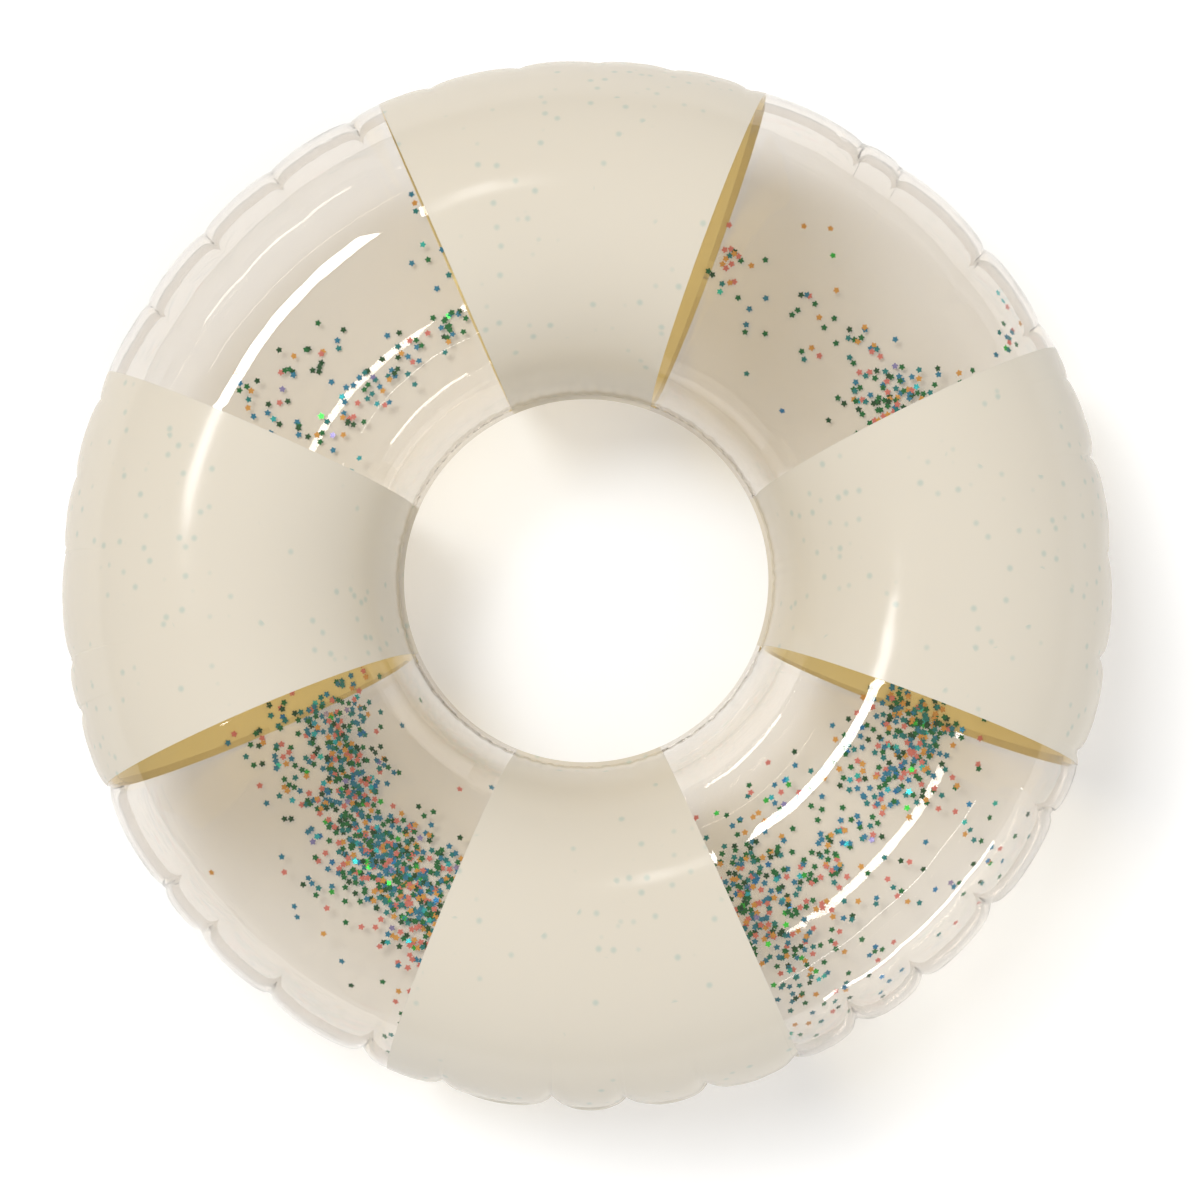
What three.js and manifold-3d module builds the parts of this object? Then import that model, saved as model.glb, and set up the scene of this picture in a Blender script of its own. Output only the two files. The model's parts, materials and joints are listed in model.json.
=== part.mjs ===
// Inflatable pool ring: cream and clear film panels, lap-welded into a tube, with a push-in valve underneath
// and loose flower confetti inside. Millimetres, +Z up. The origin is on the floor, under the centre of the hole.
//
// Each sheet (top and bottom) is eight panels, four cream and four clear. The two sheets meet at the hole in a
// flat weld flange that points into the hole, and at the outside in a groove whose flange is turned inside.
import * as THREE from "three";
import { mergeVertices } from "three/addons/utils/BufferGeometryUtils.js";
import Module from "manifold-3d";

const wasm = await Module();
wasm.setup();

// ---- Driving dimensions ----
const OUTER_RADIUS = 432; // of the smooth tube; its facets lie up to 2 mm inside
const HOLE_RADIUS = 150.5; // the edge of the weld flange in the hole
const HOLE_FLANGE = 4.5; // width of that flange
const TUBE_HALF_HEIGHT = 131; // before the underside flattens where it rests
const GROOVE_DEPTH = 5; // how far the outer weld is drawn in behind the lips
const TURNED_FLANGE = 7; // width of the outer weld, which lies inside the tube
const FILM = 0.3; // film thickness
const GAP = 0.3; // between welded layers
const LAP = 5; // overlap of neighbouring panels
const SIDES = ["right", "back_right", "back", "back_left", "left", "front_left", "front", "front_right"];
const SEAMS = [24, 68.5, 111.5, 155.5, 201.5, 247, 292, 338]; // where each panel ends, in degrees from +X
const TURN_STEPS = 48; // facets round the ring, one of them centred on each panel
const TUBE_ANGLES = [165, 150, 135, 120, 107, 96, 84, 73, 60, 45, 30, 16, 7]; // round the section, in degrees

// ---- Materials ----
const CREAM = { color: 0xe6dfca, roughness: 0.35, metalness: 0 };
const CLEAR = { color: 0xe9ddd0, roughness: 0.08, metalness: 0, transparent: true, opacity: 0.3 };
const VALVE_CLEAR = { color: 0xe8e4dc, roughness: 0.25, metalness: 0, transparent: true, opacity: 0.75 };
const CONFETTI = { color: 0x2f7f74, roughness: 0.3, metalness: 0.6 };

// ---- Derived dimensions ----
const TUBE_INNER = HOLE_RADIUS + HOLE_FLANGE;
const TUBE_CENTRE = (TUBE_INNER + OUTER_RADIUS) / 2;
const TUBE_HALF_WIDTH = (OUTER_RADIUS - TUBE_INNER) / 2;
const LAYER = FILM + GAP;
const FACET_TURN = (2 * Math.PI) / TURN_STEPS;
const SEAM_RADIUS = OUTER_RADIUS - GROOVE_DEPTH;
const radians = THREE.MathUtils.degToRad;
const tubePoint = (angle) =>
  new THREE.Vector2(
    TUBE_CENTRE + TUBE_HALF_WIDTH * Math.cos(radians(angle)),
    TUBE_HALF_HEIGHT * Math.sin(radians(angle)),
  );
const REST_HEIGHT = Math.max(...TUBE_ANGLES.map((angle) => tubePoint(angle).y)); // floor to the weld plane

// ---- Solids ----
const solidOf = (geometry) => {
  const bare = new THREE.BufferGeometry().setAttribute("position", geometry.getAttribute("position"));
  if (geometry.index) bare.setIndex(geometry.index);
  const merged = mergeVertices(bare, 1e-4);
  const solid = new wasm.Manifold(
    new wasm.Mesh({
      numProp: 3,
      vertProperties: merged.attributes.position.array,
      triVerts: new Uint32Array(merged.index.array),
    }),
  );
  if (solid.volume() < 0) throw new Error("a solid is inside out");
  return solid;
};

const geometryOf = (solid) => {
  const mesh = solid.getMesh();
  const geometry = new THREE.BufferGeometry();
  geometry.setAttribute("position", new THREE.BufferAttribute(mesh.vertProperties, 3));
  geometry.setIndex(new THREE.BufferAttribute(mesh.triVerts, 1));
  geometry.computeVertexNormals();
  return geometry;
};

const named = (name, solid, look) => {
  const mesh = new THREE.Mesh(geometryOf(solid), new THREE.MeshStandardMaterial({ ...look, name }));
  mesh.name = name;
  return mesh;
};

// A closed outline turned about +Z. Outlines run clockwise as seen with the radius to the right and +Z up.
const turned = (outline, steps, start = 0) => {
  const points = [...outline, outline[0]].map(([x, y]) => new THREE.Vector2(x, y)).reverse();
  return solidOf(new THREE.LatheGeometry(points, steps, start).rotateX(Math.PI / 2));
};

const block = (from, to) => {
  const [x, y, z] = to.map((end, i) => end - from[i]);
  const centre = to.map((end, i) => (end + from[i]) / 2);
  return solidOf(new THREE.BoxGeometry(x, y, z).translate(...centre));
};

// ---- The film's section ----
// The outside face of a top cream panel: along the hole flange, over the tube, then in along the turned flange.
const FILM_PATH = [
  new THREE.Vector2(HOLE_RADIUS, GAP / 2 + LAYER + FILM),
  new THREE.Vector2(TUBE_INNER, GAP / 2 + LAYER + FILM),
  ...TUBE_ANGLES.map(tubePoint),
  new THREE.Vector2(SEAM_RADIUS, GAP / 2),
  new THREE.Vector2(SEAM_RADIUS - TURNED_FLANGE, GAP / 2),
];

// The path moved towards the air side by a distance, with mitred corners.
const inward = (path, distance) =>
  path.map((point, i) => {
    const before = path[Math.max(i - 1, 0)];
    const after = path[Math.min(i + 1, path.length - 1)];
    const normals = [[before, point], [point, after]]
      .filter(([a, b]) => a !== b)
      .map(([a, b]) => b.clone().sub(a).normalize())
      .map((along) => new THREE.Vector2(along.y, -along.x));
    const mitre = normals.reduce((sum, n) => sum.add(n), new THREE.Vector2()).normalize();
    return point.clone().addScaledVector(mitre, distance / mitre.dot(normals[0]));
  });

// A film between two depths below the outside face, all the way round, for the top or the bottom sheet.
const filmRing = (path, depth, thickness, top) => {
  const outline = [...inward(path, depth), ...inward(path, depth + thickness).reverse()].map((p) => [
    p.x,
    top ? p.y : -p.y,
  ]);
  return turned(top ? outline : outline.reverse(), TURN_STEPS, FACET_TURN / 2);
};

// The middle of a side's panels round the ring, and half the angle that they take up.
const spread = (side) => {
  const [start, end] = [SEAMS.at(SIDES.indexOf(side) - 1), SEAMS[SIDES.indexOf(side)]];
  const half = ((end - start + 360) % 360) / 2;
  return { middle: radians(start + half), half: radians(half) };
};

// A vertical wedge about +X turned by an angle, its sides moved out by a margin, to cut one panel from a ring.
const wedge = (halfAngle, margin, turn) => {
  const reach = 2 * OUTER_RADIUS;
  const tip = -margin / Math.sin(halfAngle);
  const shape = new THREE.Shape([
    new THREE.Vector2(tip, 0),
    new THREE.Vector2(tip + reach, -reach * Math.tan(halfAngle)),
    new THREE.Vector2(tip + reach, reach * Math.tan(halfAngle)),
  ]);
  const height = 4 * TUBE_HALF_HEIGHT;
  const prism = new THREE.ExtrudeGeometry(shape, { depth: height, bevelEnabled: false });
  return solidOf(prism.translate(0, 0, -height / 2).rotateZ(turn));
};

// ---- The valve's seat ----
// It sits in the middle of one flat facet of the bottom sheet, on the outer flank of the back cream panel.
const VALVE_TURN = Math.PI / 2;
const [SEAT_LOW, SEAT_HIGH] = [45, 30].map(tubePoint);
const seatScale = Math.cos(FACET_TURN / 2); // a facet's middle lies this much closer to the axis than its edges
const seatRadius = ((SEAT_LOW.x + SEAT_HIGH.x) / 2) * seatScale;
const seatDepth = -(SEAT_LOW.y + SEAT_HIGH.y) / 2;
const seatSlope = Math.atan2((SEAT_HIGH.x - SEAT_LOW.x) * seatScale, SEAT_LOW.y - SEAT_HIGH.y);
const valve = new THREE.Group();
valve.position.set(seatRadius * Math.cos(VALVE_TURN), seatRadius * Math.sin(VALVE_TURN), seatDepth);
// Local +Z points out of the film and down, and local +Y lies along the ring.
valve.rotation.set(0, Math.PI / 2 + seatSlope, VALVE_TURN, "ZYX");
valve.updateMatrix();

// ---- The valve's pieces, in its own frame: z is 0 on the film's outside face ----
const VALVE_STEPS = 32;
const STEM_BORE = 4;
const STEM_RADIUS = 6;
const STEM_LENGTH = 16; // below the film when pushed in
const RIM = { radius: 8, low: 1.8, high: 3 };
const COLLAR = { bore: STEM_RADIUS + GAP, radius: 8.5, high: RIM.low - GAP };
const BASE_FLANGE = { radius: 15, thickness: 0.8 };
const LIP = { radius: 7.2, thickness: 1 }; // stops the stem as it is pulled out
const FLAP = { radius: 5.6, thickness: 0.6 };
const CAP = { radius: 7, low: RIM.high + GAP, thickness: 1.4 };
const PLUG = { top: 3.7, bottom: 2.6, length: 5 };
const STRAP = { reach: 11.5, width: 4, thickness: 0.6 }; // its end is the hinge, just past the ear
const FINGER_TAB = 10.5; // reach of the pull tab
const EAR = { reach: 11, width: 6 };

const valveBase = () => {
  const top = -FILM - GAP;
  const low = top - BASE_FLANGE.thickness;
  return turned(
    [
      [COLLAR.bore, low],
      [COLLAR.bore, COLLAR.high],
      [COLLAR.radius, COLLAR.high],
      [COLLAR.radius, top],
      [BASE_FLANGE.radius, top],
      [BASE_FLANGE.radius, low],
    ],
    VALVE_STEPS,
  );
};

const valveStem = () => {
  const tube = turned(
    [
      [STEM_BORE, -STEM_LENGTH],
      [STEM_BORE, RIM.high],
      [RIM.radius, RIM.high],
      [RIM.radius, RIM.low],
      [STEM_RADIUS, RIM.low],
      [STEM_RADIUS, LIP.thickness - STEM_LENGTH],
      [LIP.radius, LIP.thickness - STEM_LENGTH],
      [LIP.radius, -STEM_LENGTH],
    ],
    VALVE_STEPS,
  );
  const ear = block([-EAR.reach, -EAR.width / 2, RIM.low], [-STEM_RADIUS, EAR.width / 2, RIM.high]);
  return tube.add(ear);
};

const valveFlap = () => {
  const high = -STEM_LENGTH - GAP;
  const low = high - FLAP.thickness;
  return turned([[0, low], [0, high], [FLAP.radius, high], [FLAP.radius, low]], VALVE_STEPS);
};

const valveStopper = () => {
  const high = CAP.low + CAP.thickness;
  const soften = CAP.thickness / 3;
  const capAndPlug = turned(
    [
      [0, CAP.low - PLUG.length],
      [0, high],
      [CAP.radius - soften, high],
      [CAP.radius, high - soften],
      [CAP.radius, CAP.low],
      [PLUG.top, CAP.low],
      [PLUG.bottom, CAP.low - PLUG.length],
    ],
    VALVE_STEPS,
  );
  const strap = block(
    [-STRAP.reach, -STRAP.width / 2, CAP.low],
    [-PLUG.top, STRAP.width / 2, CAP.low + STRAP.thickness],
  );
  const fingerTab = block(
    [PLUG.top, -STRAP.width / 2, CAP.low + STRAP.thickness / 2],
    [FINGER_TAB, STRAP.width / 2, high - soften],
  );
  return capAndPlug.add(strap).add(fingerTab);
};

// ---- Assembly ----
const ring = new THREE.Group();
ring.position.z = REST_HEIGHT;

const valveHole = solidOf(
  new THREE.CylinderGeometry(COLLAR.radius + GAP, COLLAR.radius + GAP, 4 * LAYER, VALVE_STEPS)
    .rotateX(Math.PI / 2)
    .applyMatrix4(valve.matrix),
);

for (const top of [true, false]) {
  const films = {
    cream: filmRing(FILM_PATH, 0, FILM, top),
    clear: filmRing(FILM_PATH, LAYER, FILM, top),
  };
  SIDES.forEach((side, i) => {
    const film = i % 2 ? "clear" : "cream";
    const { middle, half } = spread(side);
    let panel = films[film].intersect(wedge(half, LAP / 2, middle));
    if (!top && side === "back") panel = panel.subtract(valveHole);
    ring.add(named(`${top ? "top" : "bottom"}_${film}_panel_${side}`, panel, film === "clear" ? CLEAR : CREAM));
  });
}

// Confetti lies in a thin drift on the bottom film of each clear section: the spread of a drift round the ring
// and across the tube, in degrees.
const CONFETTI_DEPTH = 0.5;
const DRIFTS = [
  { side: "back_right", halfTurn: 15, across: [120, 60] },
  { side: "back_left", halfTurn: 13, across: [120, 73] },
  { side: "front_left", halfTurn: 18, across: [120, 60] },
  { side: "front_right", halfTurn: 18, across: [135, 45] },
];
for (const { side, halfTurn, across } of DRIFTS) {
  const path = TUBE_ANGLES.filter((angle) => angle <= across[0] && angle >= across[1]).map(tubePoint);
  const bed = filmRing(path, 2 * LAYER, CONFETTI_DEPTH, false);
  const drift = bed.intersect(wedge(radians(halfTurn), 0, spread(side).middle));
  ring.add(named(`confetti_drift_${side}`, drift, CONFETTI));
}

valve.add(
  named("valve_base", valveBase(), VALVE_CLEAR),
  named("valve_stem", valveStem(), VALVE_CLEAR),
  named("valve_flap", valveFlap(), VALVE_CLEAR),
  named("valve_stopper", valveStopper(), VALVE_CLEAR),
);
ring.add(valve);

export default ring;
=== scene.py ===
"""An inflatable pool ring: cream and clear film panels welded into a tube with a puckered outer seam, loose
flower confetti inside and a push-in valve underneath. Metres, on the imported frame."""
import json

import bmesh
import bpy
import numpy as np
from mathutils import Matrix, Vector


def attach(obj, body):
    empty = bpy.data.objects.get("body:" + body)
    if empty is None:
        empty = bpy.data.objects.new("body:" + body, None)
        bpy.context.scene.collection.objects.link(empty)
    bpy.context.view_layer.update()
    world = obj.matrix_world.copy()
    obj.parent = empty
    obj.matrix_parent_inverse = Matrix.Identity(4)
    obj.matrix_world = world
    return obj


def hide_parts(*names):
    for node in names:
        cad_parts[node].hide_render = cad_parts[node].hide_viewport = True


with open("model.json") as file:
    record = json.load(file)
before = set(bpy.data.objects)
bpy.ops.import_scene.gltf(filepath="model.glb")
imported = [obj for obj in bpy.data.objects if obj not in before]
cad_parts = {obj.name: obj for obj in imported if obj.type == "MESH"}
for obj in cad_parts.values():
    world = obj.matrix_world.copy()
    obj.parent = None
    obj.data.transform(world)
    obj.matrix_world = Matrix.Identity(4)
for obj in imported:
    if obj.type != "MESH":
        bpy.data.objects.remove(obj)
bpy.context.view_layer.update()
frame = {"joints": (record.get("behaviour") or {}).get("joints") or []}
MM = 0.001

# ---- The ring's sizes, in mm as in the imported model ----
OUTER_RADIUS = 432.0
HOLE_RADIUS = 150.5
HOLE_FLANGE = 4.5
TUBE_INNER = HOLE_RADIUS + HOLE_FLANGE
TUBE_CENTRE = (TUBE_INNER + OUTER_RADIUS) / 2
TUBE_HALF_WIDTH = (OUTER_RADIUS - TUBE_INNER) / 2
TUBE_HALF_HEIGHT = 131.0
PUCKER_RADIUS = 425.0  # where degrees round the ring are turned into a pucker's mm
REST_HEIGHT = 130.28  # floor to the weld plane, where the tube flattens
GROOVE = 5.0  # how far the outer seam lies behind the lips
GROOVE_HEIGHT = 15.0
TURNED_FLANGE = 7.0
FRONT_LIPS = 268.0  # where the lower lips hang out furthest, in degrees round the ring from +X towards +Y
FILM = 0.3
LAYER = 0.32  # from one welded film to the next
LAP = 5.0
LAP_RADIUS = 300.0  # where the lap's width is turned into degrees
SIDES = ["right", "back_right", "back", "back_left", "left", "front_left", "front", "front_right"]
SEAMS = [24.0, 68.5, 111.5, 155.5, 201.5, 247.0, 292.0, 338.0]  # where each panel ends, in degrees from +X

PUCKER_COUNT = 37
DEEPEST_PUCKERS = 282.0  # in degrees round the ring
PUCKER_JITTER = 0.28  # of the distance from one to the next
WELD_CLEARANCE = 0.04  # from the weld plane to each film, in the hole's weld band


# ---------------------------------------------------------------- small helpers
def smoothstep(x, low, high):
    t = np.clip((x - low) / (high - low), 0, 1)
    return t * t * (3 - 2 * t)


def mesh_object(name, points, faces, materials, face_material=None, smooth=True, sharp=60):
    """A mesh object from points in metres. Edges that turn by more than an angle in degrees stay sharp."""
    mesh = bpy.data.meshes.new(name)
    mesh.from_pydata(points, [], faces)
    for material in materials:
        mesh.materials.append(material)
    if face_material is not None:
        mesh.polygons.foreach_set("material_index", np.asarray(face_material, np.int32))
    if smooth:
        mesh.polygons.foreach_set("use_smooth", np.ones(len(mesh.polygons), bool))
        mesh.set_sharp_from_angle(angle=np.radians(sharp))
    mesh.update()
    piece = bpy.data.objects.new(name, mesh)
    bpy.context.scene.collection.objects.link(piece)
    return piece


def store(piece, name, values):
    """A number for each vertex, for materials to read."""
    numbers = np.asarray(values, np.float32).ravel()
    piece.data.attributes.new(name, "FLOAT", "POINT").data.foreach_set("value", numbers)


class Nodes:
    """Adds nodes to a material or node group and links them by socket name."""

    def __init__(self, tree):
        self.tree = tree

    def add(self, kind, sockets=None, **settings):
        node = self.tree.nodes.new(kind)
        for key, value in settings.items():
            setattr(node, key, value)
        for key, value in (sockets or {}).items():
            if isinstance(value, bpy.types.NodeSocket):
                self.tree.links.new(value, node.inputs[key])
            else:
                node.inputs[key].default_value = value
        return node

    def maths(self, operation, a, b=0.0, c=0.0):
        return self.add("ShaderNodeMath", {0: a, 1: b, 2: c}, operation=operation).outputs[0]

    def mix(self, factor, a, b, blend="MIX"):
        sockets = {0: factor, 6: a, 7: b}
        return self.add("ShaderNodeMix", sockets, data_type="RGBA", blend_type=blend).outputs[2]


def new_material(name):
    material = bpy.data.materials.new(name)
    material.use_nodes = True
    material.node_tree.nodes.clear()
    return material, Nodes(material.node_tree)


def finish_material(material, nodes, shader):
    nodes.add("ShaderNodeOutputMaterial", {"Surface": shader})
    return material


def node_group(name, inputs, outputs):
    """A shader node group with named sockets: the group, its nodes, and its input and output nodes."""
    group = bpy.data.node_groups.new(name, "ShaderNodeTree")
    for label, kind, value in inputs:
        socket = group.interface.new_socket(label, in_out="INPUT", socket_type=kind)
        if value is not None:
            socket.default_value = value
    for label, kind in outputs:
        group.interface.new_socket(label, in_out="OUTPUT", socket_type=kind)
    nodes = Nodes(group)
    return group, nodes, nodes.add("NodeGroupInput"), nodes.add("NodeGroupOutput")


# ---------------------------------------------------------------- finishes
def film_waviness_group():
    """The slow swell and fine orange peel of blown film, as a height."""
    group, n, given, put = node_group(
        "film waviness",
        [("Swell", "NodeSocketFloat", 1.0), ("Peel", "NodeSocketFloat", 1.0)],
        [("Height", "NodeSocketFloat")],
    )
    place = n.add("ShaderNodeTexCoord").outputs["Object"]
    swell = n.add("ShaderNodeTexNoise", {"Vector": place, "Scale": 22.0, "Detail": 1.0}).outputs["Fac"]
    peel = n.add("ShaderNodeTexNoise", {"Vector": place, "Scale": 260.0, "Detail": 2.0}).outputs["Fac"]
    swell = n.maths("MULTIPLY", swell, given.outputs["Swell"])
    n.tree.links.new(n.maths("MULTIPLY_ADD", peel, given.outputs["Peel"], swell), put.inputs["Height"])
    return group


def confetti_shadow_group():
    """Painted shade: faint spots on a film that isn't clear, standing in for confetti lying under it and
    showing through.
    """
    group, n, given, put = node_group(
        "confetti seen through film",
        [("Spot size", "NodeSocketFloat", 0.16), ("How many", "NodeSocketFloat", 0.5)],
        [("Mask", "NodeSocketFloat")],
    )
    place = n.add("ShaderNodeTexCoord").outputs["Object"]
    cells = n.add("ShaderNodeTexVoronoi", {"Vector": place, "Scale": 78.0, "Randomness": 1.0})
    edge = {"Value": cells.outputs["Distance"], "From Min": given.outputs["Spot size"], "From Max": 0.06,
            "To Min": 0.0, "To Max": 1.0}
    spot = n.add("ShaderNodeMapRange", edge, interpolation_type="SMOOTHSTEP")
    chance = n.add("ShaderNodeSeparateColor", {"Color": cells.outputs["Color"]}).outputs["Red"]
    drift = n.add("ShaderNodeTexNoise", {"Vector": place, "Scale": 11.0, "Detail": 2.0}).outputs["Fac"]
    wanted = n.maths("MULTIPLY", n.maths("SUBTRACT", drift, 0.42), given.outputs["How many"])
    here = n.maths("LESS_THAN", chance, wanted)
    n.tree.links.new(n.maths("MULTIPLY", spot.outputs[0], here), put.inputs["Mask"])
    return group


WAVINESS = film_waviness_group()
CONFETTI_SHADOW = confetti_shadow_group()


def bump(n, height, distance):
    """A normal from a height, whose full depth is a distance in metres."""
    sockets = {"Height": height, "Strength": 1.0, "Distance": distance}
    return n.add("ShaderNodeBump", sockets).outputs["Normal"]


CREAM_LETS_BY = (0.50, 0.43, 0.27, 1)  # through one face of the film, and the film has two
PVC_IOR = 1.5


def lit_through(n, shader, colour):
    """The film's shader, with lamps shining faintly through it in a colour, which both faces tint."""
    lets_by = n.add("ShaderNodeBsdfTransparent", {"Color": colour}).outputs[0]
    path = n.add("ShaderNodeLightPath").outputs
    return n.add("ShaderNodeMixShader", {0: path["Is Shadow Ray"], 1: shader, 2: lets_by}).outputs[0]


def cream_outside():
    material, n = new_material("cream film, outside")
    place = n.add("ShaderNodeTexCoord").outputs["Object"]
    cloud = n.add("ShaderNodeTexNoise", {"Vector": place, "Scale": 5.0, "Detail": 3.0}).outputs["Fac"]
    colour = n.mix(cloud, (0.72, 0.705, 0.655, 1), (0.70, 0.68, 0.625, 1))
    # painted shade: grey-green spots stand in for confetti and its shade seen through the film
    spots = n.add("ShaderNodeGroup", {"Spot size": 0.30, "How many": 4.0}, node_tree=CONFETTI_SHADOW)
    painted_confetti_shade = n.maths("MULTIPLY", spots.outputs["Mask"], 0.8)
    colour = n.mix(painted_confetti_shade, colour, (0.47, 0.58, 0.56, 1))
    height = n.add("ShaderNodeGroup", {"Swell": 1.0, "Peel": 0.02}, node_tree=WAVINESS).outputs["Height"]
    body = n.add("ShaderNodeBsdfPrincipled", {"Base Color": colour, "Roughness": 0.14, "IOR": PVC_IOR,
                                              "Normal": bump(n, height, 0.0006)})
    through = n.add("ShaderNodeBsdfTranslucent", {"Color": (0.96, 0.85, 0.55, 1)})
    mix = n.add("ShaderNodeMixShader", {0: 0.18, 1: body.outputs[0], 2: through.outputs[0]})
    return finish_material(material, n, lit_through(n, mix.outputs[0], CREAM_LETS_BY))


def cream_inside_painted_light():
    material, n = new_material("cream film, inside")
    place = n.add("ShaderNodeTexCoord").outputs["Object"]
    cloud = n.add("ShaderNodeTexNoise", {"Vector": place, "Scale": 7.0, "Detail": 3.0}).outputs["Fac"]
    # painted warm light: the inside face is a deeper, brighter tan than the outside, standing in for light that
    # the film filters and the tube bounces inside
    colour = n.mix(cloud, (0.96, 0.85, 0.47, 1), (0.93, 0.80, 0.42, 1))
    height = n.add("ShaderNodeGroup", {"Swell": 1.0, "Peel": 0.02}, node_tree=WAVINESS).outputs["Height"]
    body = n.add("ShaderNodeBsdfPrincipled", {"Base Color": colour, "Roughness": 0.3, "IOR": PVC_IOR,
                                              "Normal": bump(n, height, 0.0006)})
    through = n.add("ShaderNodeBsdfTranslucent", {"Color": (0.96, 0.84, 0.46, 1)})
    mix = n.add("ShaderNodeMixShader", {0: 0.12, 1: body.outputs[0], 2: through.outputs[0]})
    return finish_material(material, n, lit_through(n, mix.outputs[0], CREAM_LETS_BY))


def clear_film():
    """Glossy film with a faint warm tint. Lamps and bounced light go straight through it."""
    material, n = new_material("clear film")
    height = n.add("ShaderNodeGroup", {"Swell": 1.0, "Peel": 0.004}, node_tree=WAVINESS).outputs["Height"]
    slant = n.maths("POWER", n.add("ShaderNodeLayerWeight", {"Blend": 0.5}).outputs["Facing"], 1.7)
    tint = n.mix(slant, (0.947, 0.929, 0.908, 1), (0.84, 0.81, 0.775, 1))  # a slanting look crosses more film
    glossy = n.add("ShaderNodeBsdfPrincipled", {"Base Color": tint, "Roughness": 0.02, "IOR": PVC_IOR,
                                                "Transmission Weight": 0.99,
                                                "Normal": bump(n, height, 0.0003)})
    lets_by = n.add("ShaderNodeBsdfTransparent", {"Color": (0.905, 0.890, 0.858, 1)})
    path = n.add("ShaderNodeLightPath").outputs
    bounced = n.maths("MAXIMUM", path["Is Shadow Ray"], path["Is Diffuse Ray"])
    mix = n.add("ShaderNodeMixShader", {0: bounced, 1: glossy.outputs[0], 2: lets_by.outputs[0]})
    return finish_material(material, n, mix.outputs[0])


# The foil's colours, each from its place on a scale of 0 to 1 up to the next. From SHINY_FROM they flash.
FOIL_COLOURS = [
    (0.0, (0.008, 0.17, 0.04)),  # green
    (0.22, (0.010, 0.08, 0.018)),  # dark green
    (0.34, (0.015, 0.23, 0.25)),  # teal
    (0.47, (0.030, 0.23, 0.42)),  # blue
    (0.65, (0.72, 0.22, 0.20)),  # salmon
    (0.79, (0.72, 0.37, 0.08)),  # mustard
    (0.90, (0.03, 0.32, 0.78)),  # flashing blue
    (0.93, (0.05, 0.75, 0.08)),  # flashing green
    (0.955, (0.05, 0.75, 0.90)),  # flashing turquoise
    (0.985, (0.45, 0.42, 0.90)),  # flashing violet
]
SHINY_FROM = 0.9


def foil():
    """Metallised foil flowers in greens, blues, salmon and mustard, a few of them iridescent."""
    material, n = new_material("confetti foil")
    tone = n.add("ShaderNodeAttribute", attribute_name="tone").outputs["Fac"]
    colours = n.add("ShaderNodeValToRGB", {"Fac": tone})
    ramp = colours.color_ramp
    ramp.interpolation = "CONSTANT"
    ramp.elements.remove(ramp.elements[1])
    ramp.elements[0].color = (*FOIL_COLOURS[0][1], 1)
    for at, colour in FOIL_COLOURS[1:]:
        ramp.elements.new(at).color = (*colour, 1)
    shiny = n.maths("GREATER_THAN", tone, SHINY_FROM)
    metal = n.maths("MULTIPLY", shiny, 0.6)
    rough = n.maths("MULTIPLY_ADD", shiny, -0.2, 0.45)
    body = n.add("ShaderNodeBsdfPrincipled", {"Base Color": colours.outputs["Color"], "Metallic": metal,
                                              "Roughness": rough, "Specular IOR Level": 0.12})
    return finish_material(material, n, body.outputs[0])


CREAM_OUT, CREAM_IN_PAINTED_LIGHT, CLEAR, FOIL = cream_outside(), cream_inside_painted_light(), clear_film(), foil()


# ---------------------------------------------------------------- the valve
# The valve's own frame, in mm: +Z out through the film, +X away from its strap and Z 0 on the film's
# outside face.
VALVE_SIDE = "back"
BASE_RADIUS, BASE_THICKNESS = 15.0, 0.8
COLLAR_BORE, COLLAR_RADIUS, COLLAR_HIGH = 6.3, 8.5, 1.5
DISH_RADIUS, DISH_RIM, DISH_DEEP = 3.6, 4.2, 0.5  # the shallow dish in the middle of the cap
STEM_BORE, STEM_RADIUS, STEM_LENGTH = 4.0, 6.0, 16.0
RIM_RADIUS, RIM_LOW, RIM_HIGH = 8.0, 1.8, 3.0
LIP_RADIUS, LIP_THICKNESS = 7.2, 1.0
FLAP_RADIUS, FLAP_THICKNESS = 5.6, 0.6
CAP_RADIUS, CAP_LOW, CAP_THICKNESS = 7.0, 3.3, 1.4
PLUG_TOP, PLUG_BOTTOM, PLUG_LENGTH = 3.7, 2.6, 5.0
STRAP_REACH, STRAP_WIDTH, STRAP_THICKNESS = 11.5, 4.0, 0.6
TAB_REACH = 10.5
EAR_REACH, EAR_WIDTH = 11.0, 6.0
GAP = 0.3
STRAP_LIFT = 0.03  # keeps the strap's underside off the cap's


def valve_frame():
    """The middle of the valve's seat and its axes as columns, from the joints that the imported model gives."""
    joints = {joint["name"]: joint for joint in frame["joints"]}
    out = np.array(joints["stem_pull"]["axis"], float)
    along = -np.array(joints["stopper_open"]["axis"], float)
    axes = np.column_stack([np.cross(along, out), along, out])
    hinge = np.array(joints["stopper_open"]["pos_m"], float) / MM
    return hinge - axes @ [-STRAP_REACH, 0, CAP_LOW], axes


VALVE_SEAT, VALVE_AXES = valve_frame()


def apply_modifiers(piece):
    """Makes a piece's modifiers part of its mesh."""
    bpy.context.view_layer.update()
    depsgraph = bpy.context.evaluated_depsgraph_get()
    mesh = bpy.data.meshes.new_from_object(piece.evaluated_get(depsgraph), depsgraph=depsgraph)
    piece.modifiers.clear()
    old, piece.data = piece.data, mesh
    mesh.name = piece.name
    bpy.data.meshes.remove(old)


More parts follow.
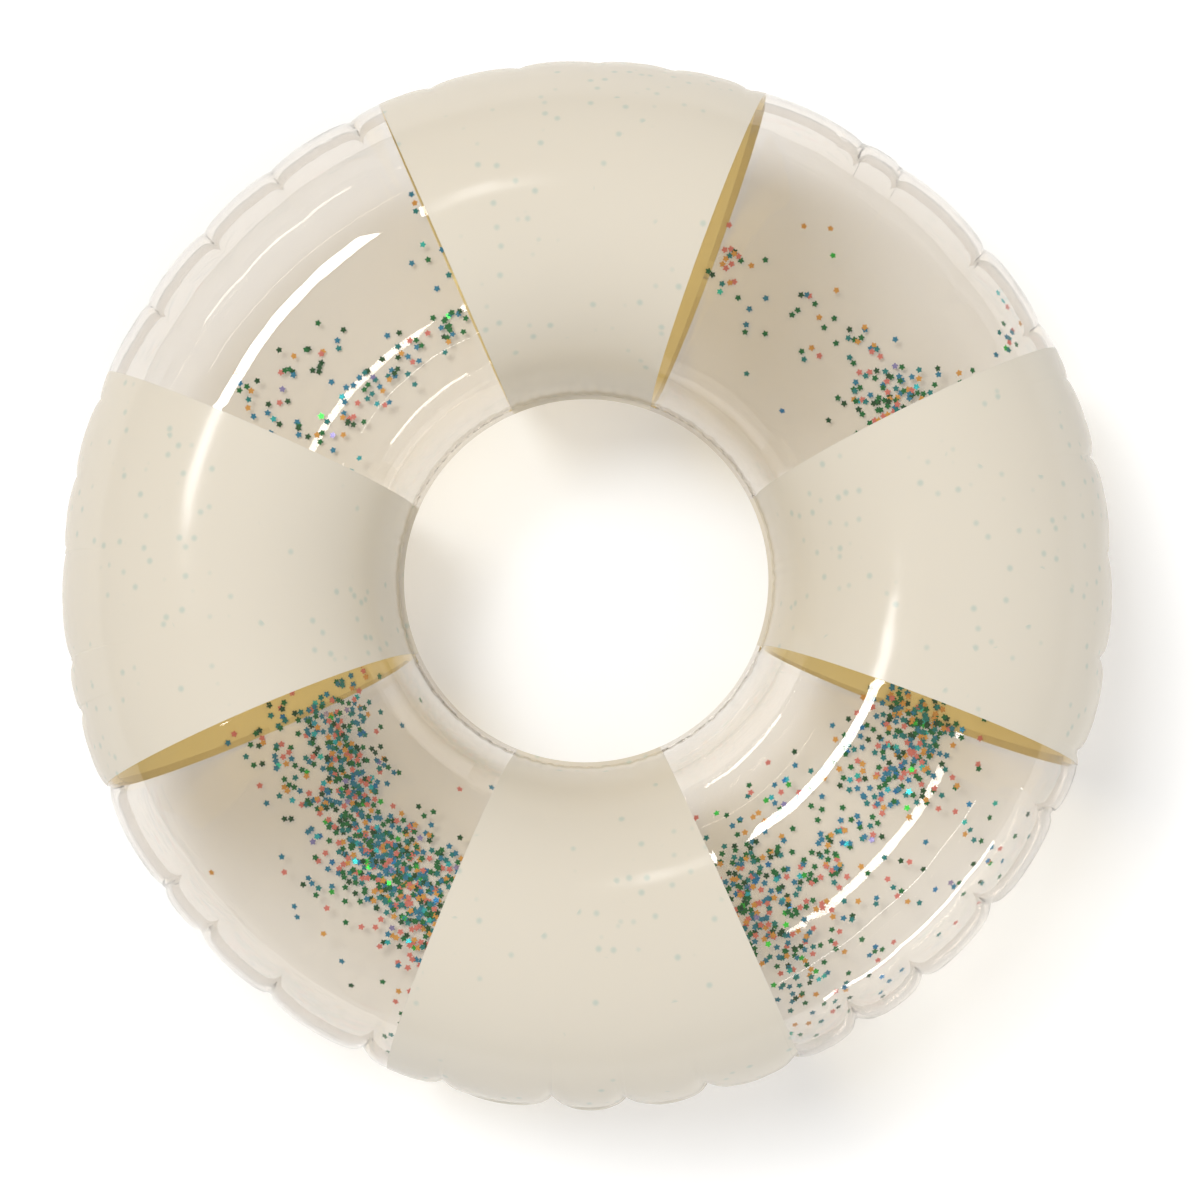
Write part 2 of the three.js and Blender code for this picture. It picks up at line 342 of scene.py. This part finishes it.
def turned(outline, steps=72):
    """Points and faces of an outline (radius, height) that closes on itself, turned round Z."""
    points, faces, rows = [], [], []
    for radius, height in outline:
        if radius == 0:
            rows.append([len(points)] * steps)
            points.append((0.0, 0.0, height))
            continue
        rows.append(list(range(len(points), len(points) + steps)))
        for k in range(steps):
            turn = 2 * np.pi * k / steps
            points.append((radius * np.cos(turn), radius * np.sin(turn), height))
    for low, high in zip(rows, rows[1:] + rows[:1]):
        for k in range(steps):
            corners = [low[k], high[k], high[(k + 1) % steps], low[(k + 1) % steps]]
            face = list(dict.fromkeys(corners))
            if len(face) > 2:
                faces.append(face)
    return points, faces


def tongue(start, end, width, low, high, round_end=True, steps=10):
    """Points and faces of a flat strip along X, with a rounded end."""
    half = width / 2
    inwards = half if end > start else -half
    turns = np.linspace(-np.pi / 2, np.pi / 2, steps)
    if round_end:
        outline = [(end - inwards + inwards * np.cos(t), half * np.sin(t)) for t in turns]
    else:
        outline = [(end, -half), (end, half)]
    outline += [(start, half), (start, -half)]
    n = len(outline)
    points = [(x, y, low) for x, y in outline] + [(x, y, high) for x, y in outline]
    faces = [list(range(n))[::-1], list(range(n, 2 * n))]
    faces += [[k, (k + 1) % n, n + (k + 1) % n, n + k] for k in range(n)]
    return points, faces


def valve_mesh(name, *shapes, material=None, soften=0.0):
    """An object from shapes in the valve's frame, with its edges softened."""
    points, faces = [], []
    for shape_points, shape_faces in shapes:
        faces += [[len(points) + k for k in face] for face in shape_faces]
        points += list(shape_points)
    place = (np.array(points) @ VALVE_AXES.T + VALVE_SEAT) * MM
    piece = mesh_object(name, place, faces, [material] if material else [], smooth=False)
    bm = bmesh.new()
    bm.from_mesh(piece.data)
    bmesh.ops.recalc_face_normals(bm, faces=bm.faces)
    bm.to_mesh(piece.data)
    bm.free()
    if soften:
        edge = piece.modifiers.new("soft edges", "BEVEL")
        edge.width = soften * MM
        edge.segments = 3
        edge.limit_method = "ANGLE"
        edge.angle_limit = np.radians(35)
        apply_modifiers(piece)
    piece.data.polygons.foreach_set("use_smooth", np.ones(len(piece.data.polygons), bool))
    piece.data.set_sharp_from_angle(angle=np.radians(40))
    return piece


def valve_plastic():
    """Soft milky PVC with the fine grain of a moulded part."""
    material, n = new_material("valve plastic")
    place = n.add("ShaderNodeTexCoord").outputs["Object"]
    cloud = n.add("ShaderNodeTexNoise", {"Vector": place, "Scale": 90.0, "Detail": 3.0}).outputs["Fac"]
    colour = n.mix(cloud, (0.86, 0.845, 0.80, 1), (0.78, 0.765, 0.72, 1))
    grain = n.add("ShaderNodeTexNoise", {"Vector": place, "Scale": 1800.0, "Detail": 2.0}).outputs["Fac"]
    rough = n.maths("MULTIPLY_ADD", grain, 0.16, 0.24)
    body = n.add("ShaderNodeBsdfPrincipled", {"Base Color": colour, "Roughness": rough, "IOR": PVC_IOR,
                                              "Transmission Weight": 0.3,
                                              "Normal": bump(n, grain, 0.00005)})
    return finish_material(material, n, body.outputs[0])


def valve_pieces():
    """The base, the stem with its ear, the flap, and the stopper with its strap and tab."""
    plastic = valve_plastic()
    top, low = -FILM - GAP, -FILM - GAP - BASE_THICKNESS
    base = turned([(COLLAR_BORE, low), (COLLAR_BORE, COLLAR_HIGH), (COLLAR_RADIUS, COLLAR_HIGH),
                   (COLLAR_RADIUS, top), (BASE_RADIUS, top), (BASE_RADIUS, low)])
    stem = turned([(STEM_BORE, -STEM_LENGTH), (STEM_BORE, RIM_HIGH), (RIM_RADIUS, RIM_HIGH),
                   (RIM_RADIUS, RIM_LOW), (STEM_RADIUS, RIM_LOW), (STEM_RADIUS, LIP_THICKNESS - STEM_LENGTH),
                   (LIP_RADIUS, LIP_THICKNESS - STEM_LENGTH), (LIP_RADIUS, -STEM_LENGTH)])
    ear = tongue(-STEM_RADIUS - 0.5, -EAR_REACH, EAR_WIDTH, RIM_LOW, RIM_HIGH)
    flap_high = -STEM_LENGTH - GAP
    flap = turned([(0, flap_high - FLAP_THICKNESS), (0, flap_high), (FLAP_RADIUS, flap_high),
                   (FLAP_RADIUS, flap_high - FLAP_THICKNESS)], 48)
    cap_high, edge = CAP_LOW + CAP_THICKNESS, CAP_THICKNESS / 3
    cap = turned([(0, CAP_LOW - PLUG_LENGTH), (0, cap_high - DISH_DEEP), (DISH_RADIUS, cap_high - DISH_DEEP),
                  (DISH_RIM, cap_high), (CAP_RADIUS - edge, cap_high), (CAP_RADIUS, cap_high - edge),
                  (CAP_RADIUS, CAP_LOW), (PLUG_TOP, CAP_LOW), (PLUG_BOTTOM, CAP_LOW - PLUG_LENGTH)])
    root = CAP_RADIUS - edge  # the strap and the tab grow out of the cap's rim
    strap = tongue(-root, -STRAP_REACH, STRAP_WIDTH, CAP_LOW + STRAP_LIFT, CAP_LOW + STRAP_THICKNESS,
                   round_end=False)
    tab = tongue(root, TAB_REACH, STRAP_WIDTH, CAP_LOW + STRAP_THICKNESS / 2, cap_high - edge)
    made = [("valve_base", (base,), 0.25, "ring"), ("valve_stem", (stem, ear), 0.2, "stem"),
            ("valve_flap", (flap,), 0.1, "flap"), ("valve_stopper", (cap, strap, tab), 0.12, "stopper")]
    for node, shapes, soften, body in made:
        piece = valve_mesh(node.replace("valve_", "inflation_"), *shapes, material=plastic, soften=soften)
        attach(piece, body)
        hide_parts(node)


# ---------------------------------------------------------------- the film's shape
def section_path():
    """The outside of a top panel as rows: radius, height, the way it swells, how far up from the seam, and
    1 on the flat weld band."""
    rows, flange_rows = [], 5
    for r in np.linspace(HOLE_RADIUS, TUBE_INNER - 1.2, 4):  # the weld band in the hole
        rows.append((r, FILM + WELD_CLEARANCE, 180.0, 0.0, 1.0))
    angles = np.concatenate([
        180 - np.array([1.2, 2.6, 4.5, 7, 10]),
        np.linspace(166, 34, 38),
        np.linspace(31, 9.5, 14),
        [8.2, 7, 5.9, 4.9, 4.0, 3.2, 2.4, 1.7, 1.0, 0.45],
    ])
    for a in angles:
        c, s = np.cos(np.radians(a)), np.sin(np.radians(a))
        height = TUBE_HALF_HEIGHT * s
        radius = TUBE_CENTRE + TUBE_HALF_WIDTH * c
        if a < 90:
            radius -= GROOVE * (1 - min(height / GROOVE_HEIGHT, 1)) ** 1.6
        if a > 90:
            height = max(height, FILM + WELD_CLEARANCE)
        rows.append((radius, height, a, 0.0, 0.0))
    weld = OUTER_RADIUS - GROOVE
    for r in np.linspace(weld, weld - TURNED_FLANGE, flange_rows):  # the turned flange
        rows.append((r, 0.03, 0.0, 0.0, 0.0))
    path = np.array(rows)
    steps = np.hypot(*np.diff(path[:, :2], axis=0).T)
    seam = len(rows) - flange_rows
    along = np.concatenate([[0], np.cumsum(steps)])
    path[:, 3] = along[seam] - along
    return path


def angle_gap(a, b):
    return (a - b + 180) % 360 - 180


def pucker_places():
    """Where the outer seam's main puckers are, in degrees round the ring, and how deep in mm."""
    jitter = rng.uniform(-PUCKER_JITTER, PUCKER_JITTER, PUCKER_COUNT)
    at = (np.arange(PUCKER_COUNT) + jitter) * 360 / PUCKER_COUNT
    front = np.exp(-((angle_gap(at, DEEPEST_PUCKERS) / 48) ** 2))
    depth = 3.8 + 5.0 * front + rng.uniform(-1.6, 1.6, PUCKER_COUNT)
    return list(zip(at, depth))


SECTION = section_path()
rng = np.random.default_rng(7)
PUCKERS = pucker_places()
PUCKER_SET = [
    {"at": at, "depth": 1.5 * depth, "length": rng.uniform(18, 26) + 2.2 * depth,
     "width": 0.9 + 0.42 * depth, "lean": rng.normal(0, 0.10), "under": rng.uniform(0.9, 1.2)}
    for at, depth in PUCKERS
]
SMALL_PUCKERS = [
    {"at": at + rng.uniform(1.5, 7.0), "depth": rng.uniform(0.5, 1.6), "length": rng.uniform(8, 22),
     "width": rng.uniform(1.2, 2.4), "lean": rng.normal(0, 0.25), "under": rng.uniform(0.5, 1.2)}
    for at, _ in PUCKERS + PUCKERS
]


def swell(theta, path, top):
    """How far the film stands out from the plain tube, in mm, at angles theta and the rows of path."""
    up = np.clip(path[None, :, 3], 0, None)
    out = np.zeros((len(theta), len(path)))
    scale = np.radians(1) * PUCKER_RADIUS
    for pucker in PUCKER_SET + SMALL_PUCKERS:
        gap = angle_gap(theta, pucker["at"])
        near = np.abs(gap) < 7
        if not near.any():
            continue
        lean = pucker["lean"] * (1 if top else -1)
        v = np.abs(gap[near, None] * scale - lean * up)
        length = pucker["length"] * (1 if top else pucker["under"])
        fade = np.exp(-((up / length) ** 1.4))
        width = pucker["width"] + 0.07 * up
        out[near] -= pucker["depth"] * fade * np.exp(-v / width)
    keys = np.array([at for at, _ in PUCKERS], float)
    keys = np.concatenate([[keys[-1] - 360], keys, [keys[0] + 360]])
    turn = (theta - keys[0]) % 360 + keys[0]
    i = np.clip(np.searchsorted(keys, turn, side="right") - 1, 0, len(keys) - 2)
    middle = (keys[i] + keys[i + 1]) / 2
    half = (keys[i + 1] - keys[i]) / 2
    lobe = 1 - ((turn - middle) / half) ** 2
    size = (half / 4.5)[:, None] ** 1.5
    pillow = 1.5 * np.exp(-((up / 40) ** 2)) + 0.35 * np.exp(-((up / 110) ** 2))
    out += (lobe[:, None] - 0.75) * size * pillow
    if not top:  # the lower lips hang out furthest at the front
        front = np.exp(-((angle_gap(theta, FRONT_LIPS) / 24) ** 2))[:, None]
        out += 4.5 * front * np.clip(lobe, 0, 1)[:, None] * np.exp(-((up / 30) ** 2)) * smoothstep(up, 0, 8)
    return out


def pinches(theta, path):
    """Short fine wrinkles where the film gathers into the weld band of the hole."""
    from_hole = path[None, :, 0] - TUBE_INNER
    on_tube = (path[None, :, 2] > 90) * (from_hole > -1)
    near = np.exp(-np.clip(from_hole, 0, None) / 7.0) * on_tube
    t = np.radians(theta)[:, None]
    coarse = np.sin(61 * t + 1.3 * np.sin(7 * t)) * np.sin(23 * t + 2)
    fine = np.sin(97 * t + 2 * np.sin(11 * t))
    return 0.35 * near * (coarse + 0.5 * fine)


def spread(side):
    """The middle of a side's panels round the ring, and half the angle that they take up."""
    start, end = SEAMS[SIDES.index(side) - 1], SEAMS[SIDES.index(side)]
    half = (end - start) % 360 / 2
    return start + half, half


def lap_mask(theta, side):
    """1 where this panel overlaps a neighbour, 0 elsewhere."""
    middle, half = spread(side)
    past = np.abs(angle_gap(theta, middle)) - half
    width = np.degrees(LAP / 2 / LAP_RADIUS)
    return smoothstep(past, -width * 2.2, -width * 1.2)


def film_points(theta, path, film, side, top):
    """Outside points of a panel, in mm, with the weld plane at z 0."""
    radius, height, angle = path[:, 0], path[:, 1].copy(), np.radians(path[:, 2])
    ny = np.sin(angle) / TUBE_HALF_HEIGHT
    nx = np.cos(angle) / TUBE_HALF_WIDTH
    size = np.hypot(nx, ny)
    nx, ny = nx / size, ny / size
    flat = path[:, 4] > 0.5
    level = smoothstep(path[:, 1], 2, 22)
    ny = ny * level
    move = swell(theta, path, top)
    move[:, flat] = 0
    move += pinches(theta, path)
    lapped = lap_mask(theta, side)[:, None]
    in_band = smoothstep(path[None, :, 0], TUBE_INNER + 9, TUBE_INNER + 1) * (path[None, :, 2] > 90)
    if film == "clear":
        move = move - LAYER * lapped * (1 - in_band)
        lift = np.zeros_like(move)
    else:
        lift = LAYER * lapped * in_band
    r = radius[None, :] + move * nx[None, :]
    z = height[None, :] + move * ny[None, :] + lift
    z = np.minimum(z, REST_HEIGHT) if not top else z
    t = np.radians(theta)[:, None]
    points = np.stack([r * np.cos(t), r * np.sin(t), z], -1)
    if not top:
        points[..., 2] *= -1
    return points


def columns(low, high):
    """Angles from low to high, closer together at each pucker and at the panel's ends."""
    turns = [at + whole for at, _ in PUCKERS for whole in (-360, 0, 360)]
    marks = sorted({low, high, *[at for at in turns if low < at < high]})
    theta = [low]
    for a, b in zip(marks, marks[1:]):
        n = max(6, int((b - a) * 2.6))
        theta += list(a + (b - a) * (1 - np.cos(np.pi * np.arange(1, n + 1) / n)) / 2)
    return np.array(theta)


def grid_normals(points, flip):
    du = np.gradient(points, axis=0)
    dv = np.gradient(points, axis=1)
    normal = np.cross(du, dv)
    normal /= np.linalg.norm(normal, axis=-1, keepdims=True) + 1e-12
    return -normal if flip else normal


def shell(points, thickness, flip):
    """A closed film from its outside points: the inside follows at the film's thickness."""
    normal = grid_normals(points, flip)
    inside = points - thickness * normal
    a, b = points.shape[:2]
    index = np.arange(a * b).reshape(a, b)
    outer = np.stack([index[:-1, :-1], index[1:, :-1], index[1:, 1:], index[:-1, 1:]], -1).reshape(-1, 4)
    if flip:
        outer = outer[:, ::-1]
    inner = outer[:, ::-1] + a * b
    rim = np.concatenate([index[:, 0], index[-1, 1:], index[-2::-1, -1], index[0, -2:0:-1]])
    after = np.roll(rim, -1)
    walls = np.stack([rim, rim + a * b, after + a * b, after], -1)
    if flip:
        walls = walls[:, ::-1]
    vertices = np.concatenate([points.reshape(-1, 3), inside.reshape(-1, 3)])
    faces = np.concatenate([outer, inner, walls])
    return vertices, faces, len(outer), len(inner)


def flattened_at_valve(points):
    """The film with a flat seat for the valve, which eases back into the tube round it."""
    local = (points - VALVE_SEAT) @ VALVE_AXES
    away = np.hypot(local[..., 0], local[..., 1])
    near = 1 - smoothstep(away, BASE_RADIUS + 2, 2.2 * BASE_RADIUS)
    near = near * (np.abs(local[..., 2]) < 2 * BASE_RADIUS)
    return points - (near * local[..., 2])[..., None] * VALVE_AXES[:, 2]


def pierce(piece):
    """Cuts the valve's hole through a panel."""
    radius, reach = COLLAR_RADIUS + GAP, 4
    cutter = valve_mesh("valve hole", turned([(0, -reach), (0, reach), (radius, reach), (radius, -reach)]))
    cut = piece.modifiers.new("valve hole", "BOOLEAN")
    cut.operation, cut.solver, cut.object = "DIFFERENCE", "MANIFOLD", cutter
    apply_modifiers(piece)
    bpy.data.objects.remove(cutter)


def panel(top, film, side):
    """One film panel of a section, top or bottom, which overlaps its neighbours by the lap."""
    middle, half = spread(side)
    reach = half + np.degrees(LAP / 2 / LAP_RADIUS)
    theta = columns(middle - reach, middle + reach)
    points = film_points(theta, SECTION, film, side, top)
    points[..., 2] += REST_HEIGHT
    holds_valve = side == VALVE_SIDE and not top
    if holds_valve:
        points = flattened_at_valve(points)
    vertices, faces, n_out, n_in = shell(points, FILM, top)
    looks, which = [CLEAR], None
    if film == "cream":
        looks, which = [CREAM_OUT, CREAM_IN_PAINTED_LIGHT], np.zeros(len(faces))
        which[n_out:n_out + n_in] = 1
    level = "top" if top else "bottom"
    piece = mesh_object(f"{level}_{film}_film_{side}", vertices * MM, faces.tolist(), looks, which)
    if holds_valve:
        pierce(piece)
    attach(piece, "ring")
    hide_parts(f"{level}_{film}_panel_{side}")


for top in (True, False):
    for i, side in enumerate(SIDES):
        panel(top, "clear" if i % 2 else "cream", side)
valve_pieces()


# ---------------------------------------------------------------- confetti
def flower_outline(points_per_petal=5, size=3.0):
    turn = np.arange(5 * points_per_petal) / (5 * points_per_petal) * 2 * np.pi
    radius = size * (0.79 + 0.21 * np.cos(5 * turn))
    return np.stack([radius * np.cos(turn), radius * np.sin(turn)], -1)


def flower_blank():
    """One foil flower, 6 mm across."""
    outline, thick = flower_outline(), 0.04
    n = len(outline)
    points = np.concatenate([np.column_stack([outline, np.full(n, z)]) for z in (thick / 2, -thick / 2)]) * MM
    faces = [list(range(n)), list(range(2 * n - 1, n - 1, -1))]
    faces += [[i, n + i, n + (i + 1) % n, (i + 1) % n] for i in range(n)]
    return mesh_object("flower blank", points, faces, [FOIL], smooth=False)


# The heaps in each clear section, listed: turn round the ring in degrees, radius, spread along the ring and
# across it in mm, and about how many flowers.
HEAPS = {
    "front_left": [
        (204, 238, 20, 18, 70), (212, 254, 20, 14, 85), (219, 268, 18, 15, 75), (228, 290, 22, 20, 165),
        (236, 300, 22, 20, 175), (243, 316, 16, 24, 125), (203, 296, 16, 22, 34), (213, 300, 28, 16, 46),
        (236, 262, 28, 14, 34), (225, 285, 60, 50, 70), (246, 395, 8, 22, 16),
    ],
    "front_right": [
        (337, 305, 15, 20, 130), (329, 306, 20, 16, 80), (330, 262, 28, 14, 54), (295, 284, 22, 28, 165),
        (297, 352, 20, 24, 85), (312, 310, 36, 14, 55), (310, 238, 16, 10, 16), (304, 300, 40, 36, 60),
        (312, 340, 76, 46, 85), (297, 410, 36, 12, 42), (322, 405, 38, 13, 26),
    ],
    "back_right": [
        (29, 308, 22, 18, 95), (26, 290, 9, 24, 26), (38, 318, 22, 10, 20), (28, 375, 16, 22, 20),
        (66, 315, 12, 14, 20), (60, 270, 26, 26, 10), (48, 300, 40, 36, 16), (30, 418, 14, 8, 12),
    ],
    "back_left": [
        (140, 318, 22, 16, 18), (148, 322, 14, 22, 10), (138, 262, 32, 10, 40), (125, 262, 18, 8, 17),
        (116, 262, 8, 8, 12), (152, 285, 12, 28, 14), (130, 240, 20, 12, 10), (114, 340, 8, 28, 8),
    ],
}
STRAYS = 60.0  # flowers per square metre everywhere else
FIRST_SEED = 3


def heap_density(theta, radius, heaps):
    """Flowers per square metre of floor plan at each point."""
    total = np.full(np.broadcast(theta, radius).shape, STRAYS)
    for turn, middle, along, across, count in heaps:
        u, v = np.radians(angle_gap(theta, turn)) * radius, radius - middle
        peak = count / (2 * np.pi * along * across * MM * MM)
        total += peak * np.exp(-0.5 * ((u / along) ** 2 + (v / across) ** 2))
    return total


def scatter_tree():
    """Geometry nodes that lay flowers on a bed, thickest where its heap is highest."""
    tree = bpy.data.node_groups.new("scatter flowers", "GeometryNodeTree")
    face = tree.interface
    face.new_socket("Geometry", in_out="INPUT", socket_type="NodeSocketGeometry")
    face.new_socket("Flower", in_out="INPUT", socket_type="NodeSocketObject")
    face.new_socket("Foil", in_out="INPUT", socket_type="NodeSocketMaterial")
    for label, value in (("Tilt", 0.16), ("Lowest", 0.0002), ("Highest", 0.0016)):
        face.new_socket(label, in_out="INPUT", socket_type="NodeSocketFloat").default_value = value
    face.new_socket("Seed", in_out="INPUT", socket_type="NodeSocketInt").default_value = 1
    face.new_socket("Geometry", in_out="OUTPUT", socket_type="NodeSocketGeometry")
    n = Nodes(tree)
    given, put = n.add("NodeGroupInput").outputs, n.add("NodeGroupOutput")
    heap = n.add("GeometryNodeInputNamedAttribute", {"Name": "heap"}, data_type="FLOAT").outputs["Attribute"]
    points = n.add("GeometryNodeDistributePointsOnFaces",
                   {"Mesh": given["Geometry"], "Density": heap, "Seed": given["Seed"]})

    def chance(low, high, step, kind="FLOAT"):
        seed = n.add("ShaderNodeMath", {0: given["Seed"], 1: float(step)}, operation="ADD").outputs[0]
        node = n.add("FunctionNodeRandomValue", {"Seed": seed}, data_type=kind)
        sockets = [s for s in node.inputs if s.enabled and s.name in ("Min", "Max")]
        for socket, value in zip(sockets, (low, high)):
            if isinstance(value, bpy.types.NodeSocket):
                tree.links.new(value, socket)
            else:
                socket.default_value = value
        return next(s for s in node.outputs if s.enabled)

    lift = n.add("ShaderNodeVectorMath", {0: points.outputs["Normal"],
                                          "Scale": chance(given["Lowest"], given["Highest"], 11)},
                 operation="SCALE").outputs["Vector"]
    lifted = n.add("GeometryNodeSetPosition", {"Geometry": points.outputs["Points"], "Offset": lift})
    less = n.add("ShaderNodeMath", {0: given["Tilt"], 1: -1.0}, operation="MULTIPLY").outputs[0]
    spin = n.add("ShaderNodeCombineXYZ", {"X": chance(less, given["Tilt"], 23),
                                          "Y": chance(less, given["Tilt"], 37),
                                          "Z": chance(0.0, 6.2832, 41)}).outputs[0]
    turn = n.add("FunctionNodeEulerToRotation", {"Euler": spin}).outputs[0]
    turned = n.add("FunctionNodeRotateRotation", {"Rotation": points.outputs["Rotation"], "Rotate By": turn},
                   rotation_space="LOCAL").outputs[0]
    flower = n.add("GeometryNodeObjectInfo", {"Object": given["Flower"]}).outputs["Geometry"]
    laid = n.add("GeometryNodeInstanceOnPoints", {"Points": lifted.outputs[0], "Instance": flower,
                                                  "Rotation": turned, "Scale": (1.0, 1.0, 1.0)})
    toned = n.add("GeometryNodeStoreNamedAttribute", {"Geometry": laid.outputs[0], "Name": "tone",
                                                      "Value": chance(0.0, 1.0, 53)},
                  data_type="FLOAT", domain="INSTANCE")
    real = n.add("GeometryNodeRealizeInstances", {"Geometry": toned.outputs[0]})
    done = n.add("GeometryNodeSetMaterial", {"Geometry": real.outputs[0], "Material": given["Foil"]})
    tree.links.new(done.outputs[0], put.inputs[0])
    return tree


SCATTER = scatter_tree()


def set_input(modifier, label, value):
    item = next(i for i in SCATTER.interface.items_tree if i.name == label and i.in_out == "INPUT")
    modifier[item.identifier] = value


def confetti(side, seed, blank):
    """The flowers lying on the bottom film of one clear section, and a little way under its neighbours."""
    middle, half = spread(side)
    theta = np.linspace(middle - half - 8, middle + half + 8, 90)
    path = SECTION[(SECTION[:, 2] > 14) & (SECTION[:, 2] < 168)]
    points = film_points(theta, path, "cream", side, False)
    points = points - 0.9 * grid_normals(points, False)
    points[..., 2] += REST_HEIGHT
    a, b = points.shape[:2]
    index = np.arange(a * b).reshape(a, b)
    faces = np.stack([index[:-1, :-1], index[:-1, 1:], index[1:, 1:], index[1:, :-1]], -1).reshape(-1, 4)
    name = f"confetti_{side}"
    bed = mesh_object(name + "_bed", points.reshape(-1, 3) * MM, faces.tolist(), [])
    slope = np.abs(np.sin(np.radians(path[:, 2])))[None, :]
    density = heap_density(theta[:, None], np.hypot(points[..., 0], points[..., 1]), HEAPS[side]) * slope
    store(bed, "heap", density)
    modifier = bed.modifiers.new("scatter flowers", "NODES")
    modifier.node_group = SCATTER
    set_input(modifier, "Flower", blank)
    set_input(modifier, "Foil", FOIL)
    set_input(modifier, "Seed", seed)
    bpy.context.view_layer.update()
    depsgraph = bpy.context.evaluated_depsgraph_get()
    mesh = bpy.data.meshes.new_from_object(bed.evaluated_get(depsgraph), depsgraph=depsgraph)
    mesh.name = name
    piece = bpy.data.objects.new(name, mesh)
    bpy.context.scene.collection.objects.link(piece)
    bpy.data.objects.remove(bed)
    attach(piece, "ring")
    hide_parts(f"confetti_drift_{side}")


BLANK = flower_blank()
for i, side in enumerate(HEAPS):
    confetti(side, FIRST_SEED + i, BLANK)
bpy.data.objects.remove(BLANK)


# ---------------------------------------------------------------- floor, light, camera
LAMP_WHITE = (1.0, 0.995, 0.985)


def towards(lean, turn, distance=1.0):
    """A point at a distance from the origin, leaning from straight up towards a turn, both in degrees."""
    lean, turn = np.radians(lean), np.radians(turn)
    return Vector((np.sin(lean) * np.cos(turn), np.sin(lean) * np.sin(turn), np.cos(lean))) * distance


def facing(direction):
    """A rotation whose Z points along a direction and whose X is level."""
    z = direction.normalized()
    x = Vector((0, 0, 1)).cross(z)
    x = x.normalized() if x.length > 1e-6 else Vector((1, 0, 0))
    return Matrix((x, z.cross(x), z)).transposed().to_4x4()


def softbox(name, lean, turn, distance, size, power):
    """A rectangular lamp that faces the ring from a distance in metres."""
    data = bpy.data.lights.new(name, "AREA")
    data.shape = "RECTANGLE"
    data.size, data.size_y = size
    data.energy = power
    data.color = LAMP_WHITE
    light = bpy.data.objects.new(name, data)
    bpy.context.scene.collection.objects.link(light)
    place = towards(lean, turn, distance)
    light.matrix_world = Matrix.Translation(place) @ facing(place)


def sun(name, lean, turn, energy, angle):
    """Soft light from a wide part of the sky, with no glint of its own."""
    data = bpy.data.lights.new(name, "SUN")
    data.energy, data.angle = energy, np.radians(angle)
    data.color = LAMP_WHITE
    light = bpy.data.objects.new(name, data)
    bpy.context.scene.collection.objects.link(light)
    light.matrix_world = facing(towards(lean, turn))
    light.visible_glossy = light.visible_transmission = False


def studio():
    material, n = new_material("studio floor")
    body = n.add("ShaderNodeBsdfPrincipled", {"Base Color": (0.82, 0.82, 0.82, 1), "Roughness": 0.9,
                                              "Emission Color": (1.0, 1.0, 1.0, 1),
                                              "Emission Strength": 0.21})
    finish_material(material, n, body.outputs[0])
    reach, low = 8, -0.0004  # just under the ring
    corners = [(-reach, -reach, low), (reach, -reach, low), (reach, reach, low), (-reach, reach, low)]
    mesh_object("floor", corners, [[0, 1, 2, 3]], [material])

    world = bpy.data.worlds.new("studio")
    world.use_nodes = True
    world.node_tree.nodes.clear()
    n = Nodes(world.node_tree)
    sky = n.add("ShaderNodeSeparateXYZ", {0: n.add("ShaderNodeTexCoord").outputs["Generated"]}).outputs
    across = n.maths("SUBTRACT", sky["X"], sky["Y"])
    walls = n.maths("MULTIPLY_ADD", across, 0.09, 0.34)  # a little brighter towards the front right
    fall = {"Value": sky["Z"], "From Min": 0.30, "From Max": 0.75, "To Min": 1.0, "To Max": 0.55}
    height = n.add("ShaderNodeMapRange", fall, interpolation_type="SMOOTHSTEP").outputs[0]
    strength = n.maths("MULTIPLY", walls, height)
    back = n.add("ShaderNodeBackground", {"Color": (1.0, 1.0, 0.99, 1), "Strength": strength})
    n.add("ShaderNodeOutputWorld", {"Surface": back.outputs[0]})
    bpy.context.scene.world = world

    softbox("strip softbox", 28.3, 140.0, 4.0, (1.5, 0.42), 26.0)
    softbox("end softbox", 28.3, 104.0, 4.0, (0.22, 0.45), 2.4)
    softbox("horizon strip", 86.5, -46.0, 3.0, (1.5, 0.12), 4.5)
    softbox("thin strip", 58.0, -47.0, 3.0, (1.7, 0.02), 0.7)
    sun("key wash", 28.3, 138.5, 1.48, 28)
    sun("front fill", 30.0, -48.0, 1.20, 80)


def camera():
    """Looks down the ring's axis, leaning a little towards the front."""
    data = bpy.data.cameras.new("camera")
    data.sensor_width, data.lens = 36.0, 109.0
    view = bpy.data.objects.new("camera", data)
    bpy.context.scene.collection.objects.link(view)
    tilt, turn, roll = np.radians(5.0), np.radians(15.5), np.radians(1.5)
    z = Vector((np.sin(tilt) * np.sin(turn), -np.sin(tilt) * np.cos(turn), np.cos(tilt)))
    x = Vector((np.sin(roll), np.cos(roll), 0)).cross(z).normalized()
    y = z.cross(x)
    distance, right, down = 3.0, 0.0116, 0.0165
    aim = Vector((0, 0, REST_HEIGHT * MM)) + x * right - y * down
    view.matrix_world = Matrix.Translation(aim + z * distance) @ Matrix((x, y, z)).transposed().to_4x4()
    bpy.context.scene.camera = view


studio()
camera()
scene = bpy.context.scene
scene.view_settings.view_transform = "Standard"
scene.cycles.use_denoising = True
scene.cycles.max_bounces = 20
scene.cycles.transmission_bounces = 14
scene.cycles.transparent_max_bounces = 40
scene.cycles.diffuse_bounces = 4
scene.cycles.glossy_bounces = 4
scene.cycles.caustics_reflective = False
scene.cycles.caustics_refractive = False
